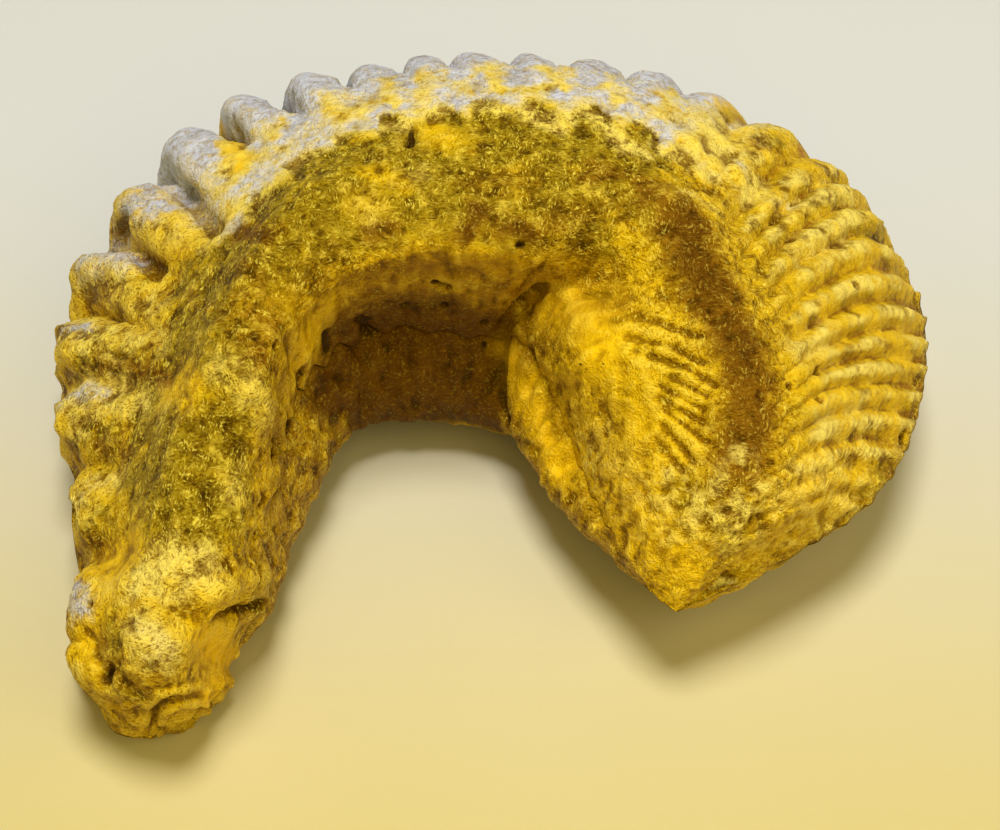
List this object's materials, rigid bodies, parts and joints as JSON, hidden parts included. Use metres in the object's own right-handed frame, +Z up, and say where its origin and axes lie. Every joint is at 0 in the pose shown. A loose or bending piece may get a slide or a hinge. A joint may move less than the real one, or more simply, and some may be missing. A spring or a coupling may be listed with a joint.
{
  "type": "fossil zigzag oyster",
  "caption": "Fossil oyster shell with both valves closed, curved like a horseshoe, its rims folded into interlocking ribs that meet in a zigzag join.",
  "frame": {"origin": "on the surface the fossil lies on, under the middle of its footprint", "axes": "+X across the horseshoe from the growing tip's arm to the beak's lobe, +Y from the open bay to the bow, +Z up from the lower valve to the upper"},
  "size_m": [0.1002, 0.0803, 0.0361],
  "materials": {
    "upper_valve": "rough, weathered fossil shell: ochre and mustard with olive and brown stains, chalky worn rib ends, dull waxy sheen",
    "lower_valve": "rough, weathered fossil shell: dark brown where shaded, ochre rib ends, dull"
  },
  "bodies": {
    "root": {"upper_valve": "upper_valve", "lower_valve": "lower_valve"}
  },
  "joints": []
}
